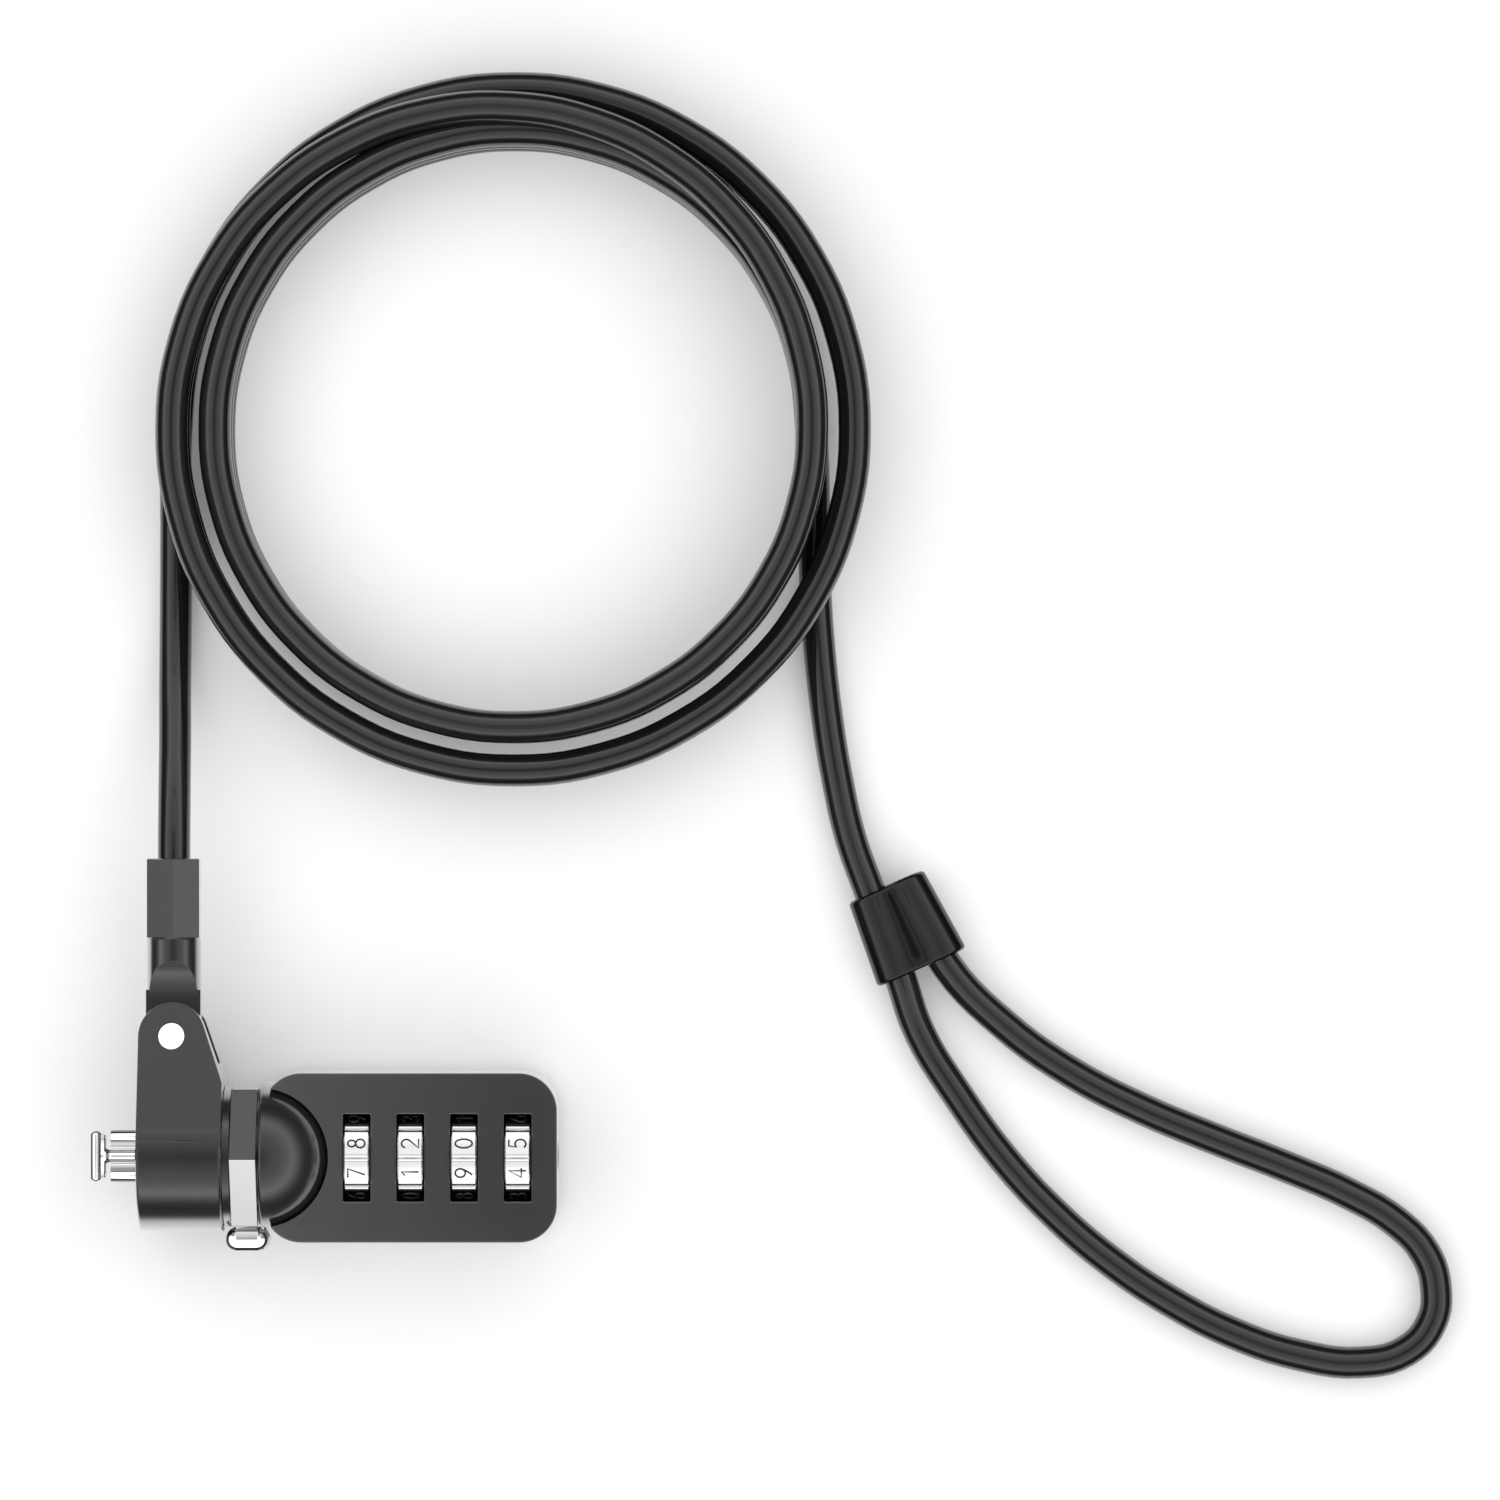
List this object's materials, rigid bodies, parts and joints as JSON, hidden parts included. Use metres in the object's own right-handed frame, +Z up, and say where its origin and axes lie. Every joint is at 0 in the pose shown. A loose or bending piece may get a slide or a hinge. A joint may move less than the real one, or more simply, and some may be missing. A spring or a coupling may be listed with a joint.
{
  "type": "laptop cable lock",
  "caption": "Combination cable lock: T-bar head with turning lever, swivelling clevis, dialled housing and a coiled steel cable that ends in a crimped loop.",
  "frame": {"origin": "centre of the yoke's front face on the lock's axis, where the lock meets the laptop's slot", "axes": "+X runs along the lock from the T-bar to the dial housing's end, +Z is up from the table that the lock and cable lie on, +Y runs from the lock towards the cable fitting"},
  "size_m": [0.1803, 0.1733, 0.0208],
  "materials": {
    "housing_black": "satin black powder coat",
    "head_black": "satin black enamel on a die casting",
    "chrome": "polished chrome",
    "wheel_nickel": "bright nickel with black numerals",
    "steel": "plain steel",
    "brass": "turned brass",
    "cable_jacket": "semi-gloss black vinyl over steel strands",
    "sleeve_gloss": "gloss black moulding"
  },
  "bodies": {
    "cable_end": {"cable_fitting": "head_black", "cable_lead": "cable_jacket", "cable_coil": "cable_jacket", "cable_tail": "cable_jacket", "cable_loop": "cable_jacket", "loop_sleeve": "sleeve_gloss"},
    "yoke": {"yoke": "head_black", "hinge_rivet": "chrome"},
    "lock": {"core_barrel": "head_black", "guide_posts": "chrome", "nose_circlip": "steel", "swivel_washer": "brass", "dome_collar": "head_black", "core_nut": "brass", "housing_top": "housing_black", "housing_base": "housing_black", "base_screws": "steel", "spindle_plate": "brass", "hub_spacers": "steel", "wheel_detent_spring": "steel", "spindle_spring": "steel"},
    "turn_bar": {"t_bar": "chrome", "turn_shaft": "steel", "turn_ring": "head_black", "turn_lever": "chrome", "drive_pin": "steel", "shaft_circlip": "steel"},
    "spindle": {"locking_spindle": "brass"},
    "wheel_1": {"number_wheel_1": "wheel_nickel", "wheel_hub_1": "head_black"},
    "wheel_2": {"number_wheel_2": "wheel_nickel", "wheel_hub_2": "head_black"},
    "wheel_3": {"number_wheel_3": "wheel_nickel", "wheel_hub_3": "head_black"},
    "wheel_4": {"number_wheel_4": "wheel_nickel", "wheel_hub_4": "head_black"},
    "reset": {"reset_screw": "steel"}
  },
  "joints": [
    {"name": "cable_pivot", "type": "hinge", "parent": "cable_end", "child": "yoke", "pos_m": [0.0044, 0.016, 0], "axis": [0, 0, 1], "range_deg": [-90, 35]},
    {"name": "head_swivel", "type": "hinge", "parent": "yoke", "child": "lock", "pos_m": [0.006, 0, 0], "axis": [1, 0, 0], "continuous": true},
    {"name": "lever_turn", "type": "hinge", "parent": "lock", "child": "turn_bar", "pos_m": [0.008, 0, 0], "axis": [-1, 0, 0], "range_deg": [0, 90]},
    {"name": "spindle_slide", "type": "slide", "parent": "lock", "child": "spindle", "axis": [1, 0, 0], "range_m": [0, 0.0008], "deforming": ["spindle_spring"]},
    {"name": "wheel_1_spin", "type": "hinge", "parent": "lock", "child": "wheel_1", "pos_m": [0.0282, 0, 0], "axis": [1, 0, 0], "continuous": true},
    {"name": "wheel_2_spin", "type": "hinge", "parent": "lock", "child": "wheel_2", "pos_m": [0.0352, 0, 0], "axis": [1, 0, 0], "continuous": true},
    {"name": "wheel_3_spin", "type": "hinge", "parent": "lock", "child": "wheel_3", "pos_m": [0.0422, 0, 0], "axis": [1, 0, 0], "continuous": true},
    {"name": "wheel_4_spin", "type": "hinge", "parent": "lock", "child": "wheel_4", "pos_m": [0.0492, 0, 0], "axis": [1, 0, 0], "continuous": true},
    {"name": "reset_turn", "type": "hinge", "parent": "lock", "child": "reset", "pos_m": [0.0535, 0, 0], "axis": [1, 0, 0], "range_deg": [0, 90]}
  ],
  "couplings": [
    {"joint": "spindle_slide", "follows": "lever_turn", "m_per_rad": 0.000509}
  ]
}
